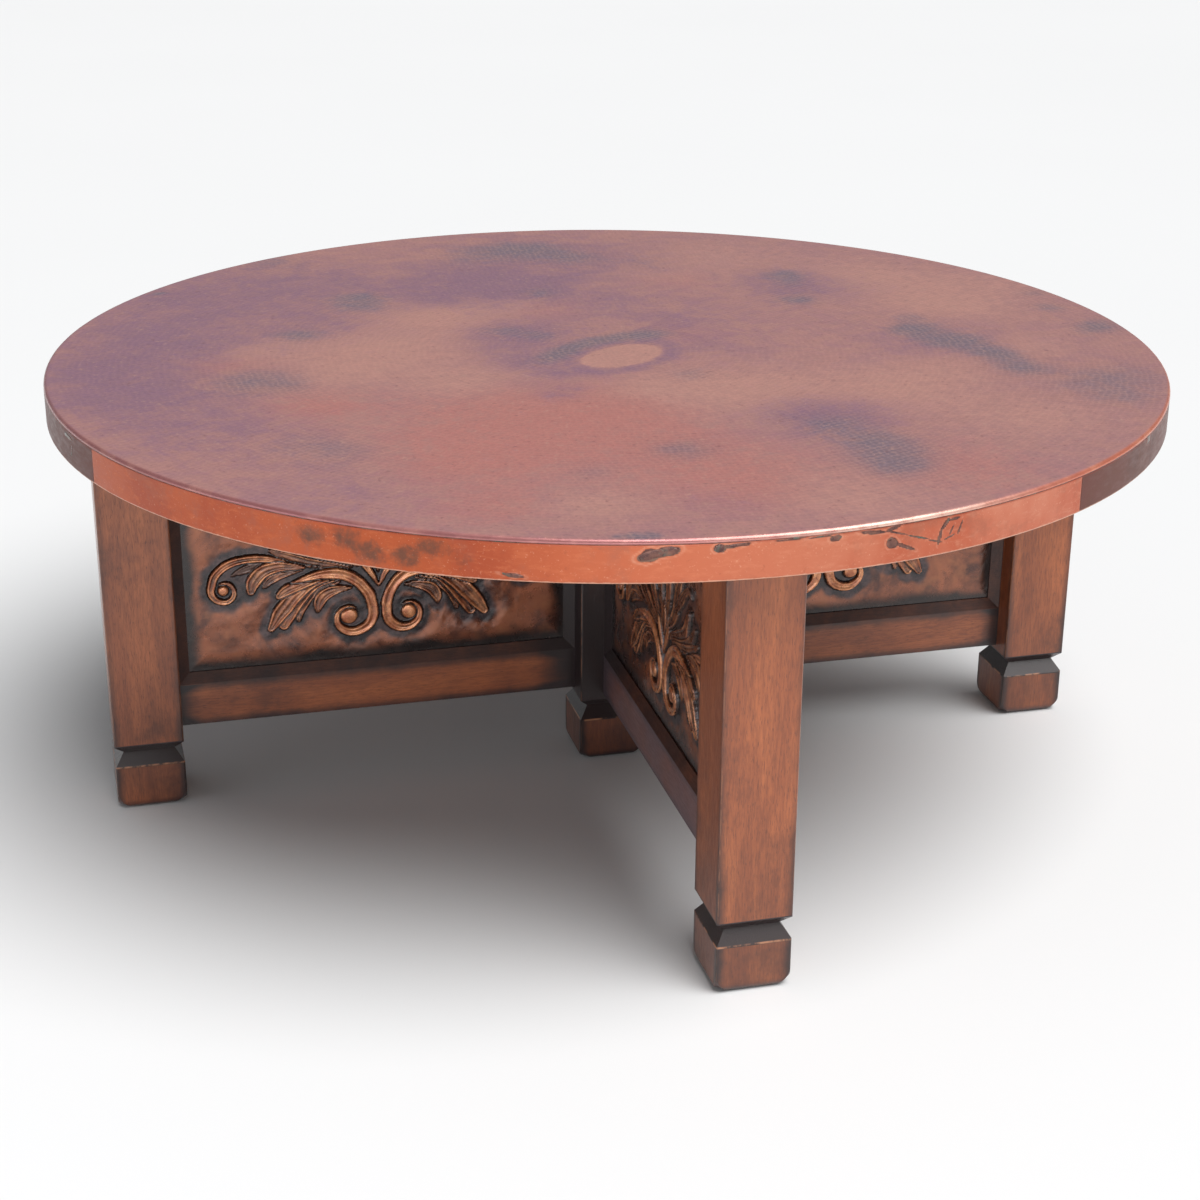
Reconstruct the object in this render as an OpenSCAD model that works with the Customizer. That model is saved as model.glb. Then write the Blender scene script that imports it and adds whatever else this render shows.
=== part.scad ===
// Round coffee table: a copper-clad top on a cross base of four framed wings.
// Each wing joins an outer leg to the centre post and carries an embossed copper
// panel on both faces. Millimetres, +Z up, origin on the floor under the centre.

/* [Table] */
// Diameter of the copper-clad top
top_d = 1219; // [1180:1:1300]
// Height of the top surface above the floor
table_h = 483; // [460:1:520]
// Thickness of the top, from its surface to the underside of the edge band
top_t = 41; // [36:1:48]

/* [Copper] */
// Thickness of the sheet that covers the top
sheet_t = 1; // [0.8:0.1:1.5]
// Radius of the rolled edge of the top sheet
edge_r = 4; // [2.5:0.5:4]
// Height of the rim that the top sheet turns down
rim_h = 4.5; // [4.5:0.5:12]
// Width of the lip that the edge band turns in under the top
lip_w = 12; // [8:1:16]
// Number of nails that hold each length of the edge band
band_nails_each = 6; // [4:1:8]

/* [Legs] */
// Width of each square post
post_w = 76; // [70:1:84]
// Distance from the table's centre to the middle of an outer leg
leg_reach = 530; // [500:1:540]
// Height of the top of the V groove above the floor
groove_top = 76; // [72:1:80]
// Height of the foot block's rim above the floor
foot_rim = 51; // [46:1:56]
// Depth of the V groove
groove_depth = 10; // [6:1:12]
// Radius of the foot's bottom edges
foot_r = 9; // [6:1:12]

/* [Wings] */
// Thickness of the rails
rail_t = 22; // [20:1:26]
// Height of the rails
rail_h = 48; // [42:1:54]
// Height of the lower rail's underside above the floor
rail_z = 83; // [80:1:90]
// Thickness of the backing board
board_t = 6; // [5:0.5:7]
// Thickness of the embossed sheet
panel_t = 0.8; // [0.6:0.1:1]
// Height of the ornament above the embossed sheet
ornament_h = 5; // [3:0.5:6]
// Width of the bevelled bead round each panel
bead_w = 13; // [10:1:15]

/* [Hidden] */
$fn = 96;
top_fn = 240; // finer facets for whatever is as wide as the top
sides = ["right", "back", "left", "front"]; // a wing's place, a quarter turn apart
faces = ["a", "b"]; // a wing's two faces: seen from above, a looks clockwise and b anticlockwise

wood = [0.42, 0.22, 0.14];
dark_wood = [0.28, 0.15, 0.10];
raw_wood = [0.76, 0.60, 0.42];
copper = [0.72, 0.45, 0.38];
edge_copper = [0.80, 0.47, 0.33];
steel = [0.66, 0.66, 0.68];
braze = [0.42, 0.36, 0.30];

top_r = top_d / 2;
core_r = top_r - sheet_t;
under_z = table_h - top_t; // underside of the edge band's lip
base_h = under_z + sheet_t; // the top's core rests on the posts and rails here
core_t = (table_h - sheet_t - base_h) / 2; // two equal layers of plywood
band_top = table_h - rim_h;
// the joints of the edge band, in degrees from +X: one long front length and three equal ones
band_joints = [-159.5, -57.5, 28.5, 114.5, 200.5];
seam_proud = 0.4; // the braze stands out this far
nail_r = 0.9;
nail_len = 14;
nail_head_r = 2;
nail_head_t = 0.8;

half = post_w / 2;
corner_r = 2.5; // rounding of the posts' upright edges
toe_r = 2 * foot_r; // rounding of the foot's four bottom corners
neck_z = groove_top - groove_depth;
wing_in = half; // a wing runs from the centre post's face
wing_out = leg_reach - half; // to the outer leg's face
wing_mid = (wing_in + wing_out) / 2;
upper_z = base_h - rail_h;
open_low = rail_z + rail_h; // panel opening
open_high = upper_z;
gap = 0.2; // clearance of joinery
slack = 0.02; // keeps a mitre or a curved joint from binding
hole_gap = 0.05; // round a nail or a tack
screw_gap = 0.1; // round a screw
over = 1; // how far a cut runs past the face that it opens
groove_len = 8; // depth of a rail's groove for the board
board_set = 6; // the board enters each post this far
tenon_t = 8;
tenon_len = 20;
tenon_set = 4; // from a rail's outer edge to its tenon, and from the tenon to the groove
tenon_h = rail_h - groove_len - 2 * tenon_set;
panel_w = wing_out - wing_in - 2 * bead_w; // the part of the sheet that shows
panel_h = open_high - open_low - 2 * bead_w;
bead_thin = 1.4; // thickness of a bead's inner edge
bead_flat = 1; // width of its outer edge, flush with the rail
tack_r = 0.7;
tack_head_r = 1.6;
tack_inset = 6; // from the sheet's edge to its tacks

cleat = 25; // cleat's square section
cleat_len = 180;
cleat_mid = 330; // from the table's centre to a cleat's middle
screw_r = 2;
screw_len = 38;
screw_head_r = 4;
screw_head_t = 3;
screw_pitch = 120; // between a cleat's two screws up into the top
side_pitch = 80; // between its two screws into the rail
side_shift = 10; // staggers those on a rail's two faces

// ---------- helpers ----------

// A square with rounded corners, centred
module rounded_square(w, r) {
    square([w - 2 * r, w], center = true);
    square([w, w - 2 * r], center = true);
    for (x = [-1, 1], y = [-1, 1])
        translate([x * (w / 2 - r), y * (w / 2 - r)]) circle(r);
}

// Half the section of a disc of radius r and thickness t with a rounded top edge
module disc_section(r, t, round_r) {
    difference() {
        square([r, t]);
        translate([r - round_r, t - round_r]) difference() {
            square(round_r + over);
            circle(round_r);
        }
    }
}

// Puts its children in wing s: 0 runs along +X, 1 along +Y, and so on
module wing(s) {
    rotate([0, 0, 90 * s]) children();
}

// Puts its children on face f of a wing: 0 faces -Y, and 1 faces +Y
module face(f) {
    if (f == 0) children();
    else mirror([0, 1, 0]) children();
}

// ---------- top ----------

module nail_places(joint) {
    from = band_joints[joint];
    span = band_joints[joint + 1] - from;
    for (i = [0 : band_nails_each - 1])
        rotate([0, 0, from + span * (i + 0.5) / band_nails_each])
            translate([core_r - lip_w / 2, 0, under_z]) children();
}

module band_nail(extra = 0) {
    cylinder(r = nail_r + extra, h = nail_len);
    if (extra == 0) translate([0, 0, -nail_head_t]) cylinder(r = nail_head_r, h = nail_head_t);
}

module band_nails() {
    color(steel) for (j = [0 : 3]) nail_places(j) band_nail();
}

module top_screw_places(s, f) {
    wing(s) face(f) for (i = [-1, 1])
        translate([cleat_mid + i * screw_pitch / 2, -(rail_t + cleat) / 2, base_h - cleat]) children();
}

module top_core_lower() {
    color(raw_wood) difference() {
        translate([0, 0, base_h]) cylinder(r = core_r, h = core_t, $fn = top_fn);
        for (j = [0 : 3]) nail_places(j) band_nail(hole_gap);
        for (s = [0 : 3], f = [0, 1]) top_screw_places(s, f) wood_screw(screw_gap);
    }
}

module top_core_upper() {
    color(raw_wood) translate([0, 0, base_h + core_t])
        rotate_extrude($fn = top_fn) disc_section(core_r, core_t, edge_r - sheet_t, $fn = 48);
}

module copper_top_sheet() {
    color(copper) translate([0, 0, band_top]) rotate_extrude($fn = top_fn) difference() {
        disc_section(top_r, rim_h, edge_r, $fn = 48);
        disc_section(core_r, rim_h - sheet_t, edge_r - sheet_t, $fn = 48);
    }
}

// A length of the edge band between two joints, with its lip under the core
module edge_band(joint) {
    from = band_joints[joint];
    color(edge_copper) difference() {
        rotate([0, 0, from]) rotate_extrude(angle = band_joints[joint + 1] - from, $fn = top_fn) {
            translate([core_r, under_z]) square([sheet_t, band_top - under_z]);
            translate([core_r - lip_w, under_z]) square([lip_w, sheet_t]);
        }
        nail_places(joint) band_nail(hole_gap);
    }
}

// The line of braze between the top sheet and the band, and down each joint of the band
module braze_seam() {
    color(braze) {
        rotate_extrude($fn = top_fn) intersection() {
            translate([top_r, band_top]) circle(seam_proud, $fn = 24);
            translate([top_r, band_top - seam_proud]) square(2 * seam_proud);
        }
        for (j = [0 : 3]) rotate([0, 0, band_joints[j]]) translate([top_r, 0, under_z])
            intersection() {
                cylinder(r = seam_proud, h = band_top - under_z - seam_proud - slack, $fn = 24);
                translate([slack, -seam_proud, 0]) cube([seam_proud, 2 * seam_proud, top_t]);
            }
    }
}

// ---------- posts ----------

// A V cut across the post's -Y face: it slopes in to the neck from above and from below
module v_cut() {
    translate([-post_w, -half, 0]) rotate([90, 0, 90]) linear_extrude(2 * post_w)
        polygon([[-over, groove_top], [-over, foot_rim], [0, foot_rim],
                 [groove_depth, neck_z], [0, groove_top]]);
}

// What rounds a bottom edge away: the edge runs along X, that far from the origin on the -Y side
module edge_round(distance, r) {
    translate([-post_w, -distance, 0]) rotate([90, 0, 90]) linear_extrude(2 * post_w)
        difference() {
            translate([-over, -over]) square(r + over);
            translate([r, r]) circle(r);
        }
}

// The mortises and the board's groove in the post's +X face, cut for the wing that meets it
module wing_sockets() {
    for (z = [rail_z + tenon_set, base_h - tenon_set - tenon_h])
        translate([half - tenon_len - gap, -tenon_t / 2 - gap, z - gap])
            cube([tenon_len + gap + over, tenon_t + 2 * gap, tenon_h + 2 * gap]);
    translate([half - board_set - gap, -board_t / 2 - gap, open_low - groove_len])
        cube([board_set + gap + over, board_t + 2 * gap, open_high - open_low + 2 * groove_len]);
}

// A post with its block foot. sockets lists the faces that take a wing: 0 is +X, 1 is +Y and so on.
module post(sockets) {
    difference() {
        linear_extrude(base_h) rounded_square(post_w, corner_r);
        for (s = [0 : 3]) wing(s) {
            v_cut();
            edge_round(half, foot_r);
            rotate([0, 0, 45]) edge_round((half - corner_r) * sqrt(2) + corner_r, toe_r);
        }
        for (s = sockets) wing(s) wing_sockets();
    }
}

module centre_post() {
    color(dark_wood) post([0, 1, 2, 3]);
}

module leg(s) {
    color(wood) wing(s) translate([leg_reach, 0, 0]) post([2]);
}

// ---------- wings ----------

// A rail from post to post at the given height, with a tenon at each end.
// The board's groove runs along its upper edge if up is 1, or its lower edge if up is -1.
module rail(s, z, up) {
    tenon_z = up > 0 ? tenon_set : rail_h - tenon_set - tenon_h;
    groove_z = up > 0 ? rail_h - groove_len : -over;
    wing(s) translate([0, 0, z]) difference() {
        union() {
            translate([wing_in, -rail_t / 2, 0]) cube([wing_out - wing_in, rail_t, rail_h]);
            translate([wing_in - tenon_len, -tenon_t / 2, tenon_z])
                cube([wing_out - wing_in + 2 * tenon_len, tenon_t, tenon_h]);
        }
        translate([wing_in - over, -board_t / 2 - gap / 2, groove_z])
            cube([wing_out - wing_in + 2 * over, board_t + gap, groove_len + over]);
    }
}

module lower_rail(s) {
    color(wood) rail(s, rail_z, 1);
}

module upper_rail(s) {
    color(wood) difference() {
        rail(s, upper_z, -1);
        for (f = [0, 1]) side_screw_places(s, f) wood_screw(screw_gap);
    }
}

// Where a sheet's tacks go, in the plane of wing 0's -Y face
module tack_places() {
    low = [wing_in + tack_inset, open_low + tack_inset];
    high = [wing_out - tack_inset, open_high - tack_inset];
    for (i = [0 : 3], z = [low.y, high.y])
        translate([low.x + (high.x - low.x) * i / 3, -board_t / 2 - panel_t, z]) children();
    for (x = [low.x, high.x])
        translate([x, -board_t / 2 - panel_t, (low.y + high.y) / 2]) children();
}

// A tack driven along +Y, with its head flush with the sheet's face
module tack(extra = 0) {
    rotate([-90, 0, 0]) {
        cylinder(r = tack_head_r + extra, h = panel_t, $fn = 24);
        cylinder(r = tack_r + extra, h = board_t / 2, $fn = 24);
    }
}

module panel_tacks() {
    color(copper) for (s = [0 : 3], f = [0, 1]) wing(s) face(f) tack_places() tack();
}

module backing_board(s) {
    color(raw_wood) difference() {
        wing(s) translate([wing_in - board_set, -board_t / 2, open_low - groove_len + gap])
            cube([wing_out - wing_in + 2 * board_set, board_t,
                  open_high - open_low + 2 * (groove_len - gap)]);
        for (f = [0, 1]) wing(s) face(f) tack_places() tack(hole_gap);
    }
}

// A bead's section: its back lies on the sheet, and it slopes up from the panel to the rail's face
module bead_bar(length) {
    back = board_t / 2 + panel_t;
    intersection() {
        translate([-length / 2, 0, 0]) rotate([90, 0, 90]) linear_extrude(length)
            polygon([[-back, 0], [-rail_t / 2, 0], [-rail_t / 2, bead_flat],
                     [-back - bead_thin, bead_w], [-back, bead_w]]);
        rotate([90, 0, 0]) linear_extrude(rail_t)
            polygon([[-length / 2, 0], [length / 2, 0],
                     [length / 2 - bead_w, bead_w], [bead_w - length / 2, bead_w]]);
    }
}

// The four mitred beads round one face of a wing's panel
module panel_bead(s, f) {
    w = wing_out - wing_in;
    h = open_high - open_low;
    color(dark_wood) wing(s) face(f)
        translate([wing_mid, 0, (open_low + open_high) / 2]) {
            for (turn = [0, 180]) rotate([0, turn, 0]) translate([0, 0, -h / 2]) bead_bar(w - slack);
            for (turn = [90, 270]) rotate([0, turn, 0]) translate([0, 0, -w / 2]) bead_bar(h - slack);
        }
}

// ---------- ornament ----------

// The ornament is drawn for a panel of this size, with x from the panel's middle and
// y from its lower edge, and is scaled to fit the panel
drawn_w = 428;
drawn_h = 238;
ornament_scale = min(panel_w / drawn_w, panel_h / drawn_h);
steps = 8; // lengths that a curve is drawn in
scroll_steps = 20;

// The outline of a stroke with its centre line through the points c and half widths w
function edge(c, w, side) = [for (i = [0 : len(c) - 1])
    let (along = c[min(i + 1, len(c) - 1)] - c[max(i - 1, 0)])
    c[i] + side * w[i] * [-along.y, along.x] / norm(along)];
function reversed(list) = [for (i = [len(list) - 1 : -1 : 0]) list[i]];
function stroke(c, w) = concat(edge(c, w, 1), reversed(edge(c, w, -1)));

// A curve from a to d that sets out towards b and comes in from c
function curve(a, b, c, d) = [for (i = [0 : steps]) let (t = i / steps, u = 1 - t)
    u * u * u * a + 3 * u * u * t * b + 3 * u * t * t * c + t * t * t * d];

function taper(w0, w1, n) = [for (i = [0 : n]) w0 + (w1 - w0) * i / n];

// A leaf: narrow at both ends and w half way across, near its middle
module leaf(a, b, c, d, w) {
    thin = 0.4;
    polygon(stroke(curve(a, b, c, d), [for (i = [0 : steps]) thin + w * sin(180 * i / steps)]));
}

module stem(a, b, c, d, w0, w1) {
    polygon(stroke(curve(a, b, c, d), taper(w0, w1, steps)));
}

// A scroll that winds about p from radius r0 at angle a0 to r1 at a1, round a ball
module scroll(p, r0, r1, a0, a1, w0, w1, ball_r) {
    points = [for (i = [0 : scroll_steps]) let (t = i / scroll_steps, a = a0 + (a1 - a0) * t)
        p + (r0 + (r1 - r0) * t) * [cos(a), sin(a)]];
    polygon(stroke(points, taper(w0, w1, scroll_steps)));
    translate(p) circle(ball_r, $fn = 24);
}

module inner_scroll() {
    stem([66, 107], [40, 108], [12, 92], [10, 58], 2, 6.5);
    scroll([34.5, 50.5], 24.5, 11, 155, 520, 6.5, 2, 9);
    leaf([30, 84], [54, 92], [80, 82], [71, 60], 5);
}

module outer_scroll() {
    stem([52, 108], [86, 112], [112, 122], [132, 130], 1.5, 2.5);
    stem([132, 130], [160, 140], [188, 126], [190, 96], 2.5, 3.5);
    scroll([171, 94], 19, 8.5, 12, -330, 3.5, 2, 6.5);
}

module big_leaf() {
    leaf([36, 98], [56, 114], [84, 108], [100, 99], 6);
    leaf([50, 100], [80, 104], [104, 96], [115, 80], 8);
    leaf([56, 100], [90, 100], [112, 76], [127, 41], 9);
    leaf([60, 96], [84, 92], [92, 74], [92, 50], 6);
}

module small_leaf() {
    leaf([84, 113], [108, 126], [138, 122], [150, 108], 5);
    leaf([88, 112], [110, 116], [146, 116], [146, 90], 6);
    leaf([90, 110], [108, 112], [122, 108], [127, 97], 4);
    leaf([136, 122], [146, 126], [156, 124], [166, 117], 3);
}

module plumes() {
    leaf([6, 92], [30, 116], [64, 118], [92, 127], 5);
    leaf([30, 110], [60, 122], [90, 146], [114, 140], 5);
    leaf([8, 98], [36, 124], [84, 130], [88, 162], 5);
    leaf([8, 100], [52, 130], [48, 176], [66, 206], 7);
    leaf([4, 104], [34, 140], [14, 182], [34, 216], 6);
    leaf([2, 90], [22, 118], [4, 142], [20, 150], 3.5);
}

module half_ornament() {
    inner_scroll();
    outer_scroll();
    big_leaf();
    small_leaf();
    plumes();
}

module ornament() {
    half_ornament();
    mirror([1, 0]) half_ornament();
    leaf([0, 84], [0, 110], [0, 120], [0, 150], 9);
}

// The sheet on one face of a wing, with its ornament standing out of it
module copper_panel(s, f) {
    rim = 0.5; // the sheet is cut this much smaller than the opening
    color(copper) wing(s) face(f) difference() {
        union() {
            translate([wing_in + rim, -board_t / 2 - panel_t, open_low + rim])
                cube([wing_out - wing_in - 2 * rim, panel_t, open_high - open_low - 2 * rim]);
            translate([wing_mid, -board_t / 2, open_low + bead_w]) rotate([90, 0, 0])
                linear_extrude(panel_t + ornament_h) scale(ornament_scale) ornament();
        }
        tack_places() tack(hole_gap);
    }
}

// ---------- cleats and screws ----------

module top_cleat(s, f) {
    color(raw_wood) difference() {
        wing(s) face(f) translate([cleat_mid - cleat_len / 2, -rail_t / 2 - cleat, base_h - cleat])
            cube([cleat_len, cleat, cleat]);
        top_screw_places(s, f) wood_screw(screw_gap);
        side_screw_places(s, f) wood_screw(screw_gap);
    }
}

// A countersunk screw that points up, with its head's face at z = 0. With extra it is the hole.
module wood_screw(extra = 0) {
    cylinder(r1 = screw_head_r + extra, r2 = screw_r + extra, h = screw_head_t);
    cylinder(r = screw_r + extra, h = screw_len + extra);
    if (extra > 0) translate([0, 0, -over]) cylinder(r = screw_head_r + extra, h = over);
}

module side_screw_places(s, f) {
    shift = f == 0 ? side_shift : -side_shift;
    wing(s) face(f) for (i = [-1, 1])
        translate([cleat_mid + shift + i * side_pitch / 2, -rail_t / 2 - cleat, base_h - cleat / 2])
            rotate([-90, 0, 0]) children();
}

module cleat_top_screws() {
    color(steel) for (s = [0 : 3], f = [0, 1]) top_screw_places(s, f) wood_screw();
}

module cleat_side_screws() {
    color(steel) for (s = [0 : 3], f = [0, 1]) side_screw_places(s, f) wood_screw();
}

// ---------- the table ----------

top_core_upper();
top_core_lower();
copper_top_sheet();
braze_seam();
band_nails();
centre_post();
cleat_top_screws();
cleat_side_screws();
panel_tacks();
for (s = [0 : 3]) {
    edge_band((s + 1) % 4);
    leg(s);
    lower_rail(s);
    upper_rail(s);
    backing_board(s);
    for (f = [0, 1]) {
        copper_panel(s, f);
        panel_bead(s, f);
        top_cleat(s, f);
    }
}
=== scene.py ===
"""The looks of a round copper-clad coffee table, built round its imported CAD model."""

import math

import bpy
import numpy as np
from mathutils import Matrix, Vector


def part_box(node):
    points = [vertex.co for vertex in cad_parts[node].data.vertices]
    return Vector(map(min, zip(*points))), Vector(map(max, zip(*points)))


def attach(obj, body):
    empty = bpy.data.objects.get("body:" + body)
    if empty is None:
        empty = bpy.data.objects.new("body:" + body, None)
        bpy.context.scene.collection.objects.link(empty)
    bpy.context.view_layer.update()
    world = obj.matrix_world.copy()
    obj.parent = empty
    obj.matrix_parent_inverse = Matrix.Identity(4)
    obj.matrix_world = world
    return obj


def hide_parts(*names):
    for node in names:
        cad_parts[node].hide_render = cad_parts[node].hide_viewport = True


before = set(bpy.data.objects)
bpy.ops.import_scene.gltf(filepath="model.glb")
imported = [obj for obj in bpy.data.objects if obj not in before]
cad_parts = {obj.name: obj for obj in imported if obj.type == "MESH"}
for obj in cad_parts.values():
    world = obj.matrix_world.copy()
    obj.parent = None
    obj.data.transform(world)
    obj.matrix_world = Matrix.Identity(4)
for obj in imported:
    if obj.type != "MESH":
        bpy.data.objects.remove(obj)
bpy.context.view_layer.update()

MM = 0.001
SIDES = ("right", "back", "left", "front")
FACES = ("a", "b")

top_low, top_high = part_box("copper_top_sheet")
TOP_R = top_high.x
TOP_Z = top_high.z
RIM_LOW = top_low.z
BAND_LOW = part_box("edge_band_front")[0].z
LEG_HALF = (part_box("leg_right")[1].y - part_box("leg_right")[0].y) / 2
LEG_REACH = (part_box("leg_right")[0].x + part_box("leg_right")[1].x) / 2
SHEET_LOW, SHEET_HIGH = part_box("copper_panel_right_a")
RAIL_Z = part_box("lower_rail_right")[0].z
RAIL_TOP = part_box("lower_rail_right")[1].z


# ---------- arrays ----------

def smooth(low, high, x):
    """0 below low, 1 above high, and smooth between."""
    t = np.clip((x - low) / (high - low), 0, 1)
    return t * t * (3 - 2 * t)


def bell(x, width):
    return np.exp(-(x / width) ** 2)


def value_noise(x, y, size, seed):
    """Smooth noise from -1 to 1 whose features are about size across."""
    cells = 128
    grid = np.random.default_rng(seed).uniform(-1, 1, (cells, cells))
    x, y = x / size, y / size
    i, j = np.floor(x).astype(int), np.floor(y).astype(int)
    a, b = smooth(0, 1, x - i), smooth(0, 1, y - j)
    low = grid[i % cells, j % cells] * (1 - a) + grid[(i + 1) % cells, j % cells] * a
    high = grid[i % cells, (j + 1) % cells] * (1 - a) + grid[(i + 1) % cells, (j + 1) % cells] * a
    return low * (1 - b) + high * b


def cloud(x, y, size, seed, octaves=3):
    """Noise from -1 to 1 with finer noise added to it."""
    total, weight, sum_of_weights = 0, 1.0, 0
    for k in range(octaves):
        total = total + weight * value_noise(x, y, size / 2 ** k, seed + k)
        sum_of_weights += weight
        weight *= 0.5
    return total / sum_of_weights


# ---------- meshes ----------

def place_object(name, data):
    thing = bpy.data.objects.new(name, data)
    bpy.context.scene.collection.objects.link(thing)
    return thing


def make_piece(name, points, faces, material, node=None):
    """A smooth mesh piece that rides on the root body and may replace a CAD node."""
    mesh = bpy.data.meshes.new(name)
    mesh.from_pydata([tuple(p) for p in points], [], faces)
    mesh.validate()
    mesh.polygons.foreach_set("use_smooth", [True] * len(mesh.polygons))
    mesh.materials.append(material)
    piece = place_object(name, mesh)
    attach(piece, "root")
    if node:
        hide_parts(node)
    return piece


def set_attribute(piece, name, values):
    """Stores one number for each of the piece's vertices, for its material to read."""
    layer = piece.data.attributes.new(name, "FLOAT", "POINT")
    layer.data.foreach_set("value", np.asarray(values, np.float32))


def stitch(inner, outer):
    """Triangles between two rings of points. Each ring is its first point's number and its angles."""
    (first_in, angles_in), (first_out, angles_out) = inner, outer
    m, n = len(angles_in), len(angles_out)
    faces, i, j = [], 0, 0
    turn = 2 * math.pi
    while i < m or j < n:
        next_in = angles_in[(i + 1) % m] + turn * ((i + 1) // m)
        next_out = angles_out[(j + 1) % n] + turn * ((j + 1) // n)
        a, b = first_in + i % m, first_out + j % n
        if j >= n or (i < m and next_in < next_out):
            faces.append((a, b, first_in + (i + 1) % m))
            i += 1
        else:
            faces.append((a, b, first_out + (j + 1) % n))
            j += 1
    return faces


# ---------- shader nodes ----------

class Graph:
    """Builds a material's nodes. Each method returns the socket that carries its result."""

    def __init__(self, name):
        self.material = bpy.data.materials.new(name)
        self.material.use_nodes = True
        self.tree = self.material.node_tree
        self.shader = self.tree.nodes["Principled BSDF"]
        self.place = self.add("ShaderNodeTexCoord").outputs["Object"]

    def add(self, kind, **settings):
        node = self.tree.nodes.new(kind)
        for key, value in settings.items():
            setattr(node, key, value)
        return node

    def put(self, socket, value):
        """Links value to the socket if it is a socket, and sets it otherwise."""
        if isinstance(value, bpy.types.NodeSocket):
            self.tree.links.new(value, socket)
        else:
            socket.default_value = value

    def set(self, **values):
        for key, value in values.items():
            self.put(self.shader.inputs[key.replace("_", " ")], value)

    def math(self, operation, a, b=0.0, c=0.0):
        node = self.add("ShaderNodeMath", operation=operation)
        for socket, value in zip(node.inputs, (a, b, c)):
            self.put(socket, value)
        return node.outputs[0]

    def plus(self, a, b):
        return self.math("ADD", a, b)

    def times(self, a, b):
        return self.math("MULTIPLY", a, b)

    def off(self, value, middle):
        """How far value is from middle."""
        return self.math("ABSOLUTE", self.math("SUBTRACT", value, middle))

    def sway(self, noise, amount):
        """Noise that runs from 0 to 1, moved to lie about 0 and multiplied by amount."""
        return self.times(self.math("SUBTRACT", noise, 0.5), amount)

    def step(self, low, high, value, to_low=0.0, to_high=1.0):
        """Goes smoothly from to_low, where value is low, to to_high, where it is high."""
        node = self.add("ShaderNodeMapRange", interpolation_type="SMOOTHSTEP")
        for key, x in (("Value", value), ("From Min", low), ("From Max", high),
                       ("To Min", to_low), ("To Max", to_high)):
            self.put(node.inputs[key], x)
        return node.outputs[0]

    def mix(self, share, a, b):
        """Colour a where share is 0 and b where it is 1."""
        node = self.add("ShaderNodeMix", data_type="RGBA")
        sockets = [s for s in node.inputs if s.enabled]
        for socket, value in zip(sockets, (share, a, b)):
            self.put(socket, value)
        return next(s for s in node.outputs if s.enabled)

    def xyz(self):
        """The point's own coordinates, in metres."""
        node = self.add("ShaderNodeSeparateXYZ")
        self.put(node.inputs[0], self.place)
        return node.outputs

    def arm(self):
        """How far out along the arms of the base a point lies."""
        x, y, z = self.xyz()
        return self.math("MAXIMUM", self.math("ABSOLUTE", x), self.math("ABSOLUTE", y))

    def scaled(self, scale):
        """The point's coordinates, scaled. A small scale stretches a pattern along that axis."""
        node = self.add("ShaderNodeMapping")
        self.put(node.inputs["Vector"], self.place)
        node.inputs["Scale"].default_value = scale
        return node.outputs[0]

    def noise(self, scale, detail=3.0, roughness=0.55, vector=None, distortion=0.0):
        node = self.add("ShaderNodeTexNoise")
        self.put(node.inputs["Vector"], vector or self.place)
        for key, value in (("Scale", scale), ("Detail", detail), ("Roughness", roughness),
                           ("Distortion", distortion)):
            node.inputs[key].default_value = value
        return node.outputs["Fac"]

    def attribute(self, name):
        return self.add("ShaderNodeAttribute", attribute_name=name).outputs["Fac"]

    def bump(self, height, depth):
        """A bump where height runs from 0 to 1 over depth metres."""
        node = self.add("ShaderNodeBump")
        node.inputs["Strength"].default_value = 1.0
        node.inputs["Distance"].default_value = depth
        self.put(node.inputs["Height"], height)
        return node.outputs[0]


def rgb(red, green, blue):
    """A colour given in sRGB from 0 to 255, as the linear colour that shaders take."""
    parts = [c / 255 for c in (red, green, blue)]
    return tuple(c / 12.92 if c <= 0.04045 else ((c + 0.055) / 1.055) ** 2.4 for c in parts) + (1.0,)


# ---------- the hammered top ----------

EDGE_R = 4 * MM
SHEET_T = 1 * MM
HAMMER_ROWS = 82
HAMMER_PITCH = (TOP_R - EDGE_R) / HAMMER_ROWS
HAMMER_DEPTH = 0.16 * MM
# A highlight painted on the rolled edge, which stays there in any light: degrees from +X
GLEAM_ANGLE, GLEAM_WIDTH = -79, 11

# Where each colour of the patina lies on the top: x, y and radius in mm, and strength
SLATE = (
    (10, 490, 52, 0.9), (50, 440, 45, 0.7), (-50, 480, 55, 0.5), (-235, 290, 36, 0.8),
    (-240, 245, 34, 0.7), (-330, 135, 34, 0.7), (300, 285, 32, 0.75), (285, 245, 26, 0.5),
    (278, 165, 30, 0.7), (-15, 275, 24, 0.6), (375, -8, 32, 1.0), (398, -60, 36, 1.0),
    (420, -118, 36, 0.95), (425, -172, 30, 0.8), (388, 42, 30, 0.45), (575, -40, 34, 0.8),
    (562, 62, 24, 0.6), (572, 135, 22, 0.5), (495, -235, 62, 0.6), (470, -300, 40, 0.45),
    (60, -106, 30, 0.45), (-25, -368, 36, 0.65), (148, -330, 36, 0.65), (170, -385, 38, 0.8),
    (178, -440, 44, 0.85), (-120, -412, 26, 0.4), (-400, -38, 45, 0.65), (-360, -60, 32, 0.5),
    (-360, -290, 55, 0.5), (-310, 500, 50, 0.45), (150, 400, 45, 0.3), (-448, 370, 9, 0.8),
    (-145, -579, 9, 0.8), (-130, -583, 10, 1.0), (-114, -586, 9, 0.9), (-60, 82, 28, 0.6),
    (-95, 108, 26, 0.5),
)
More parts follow.
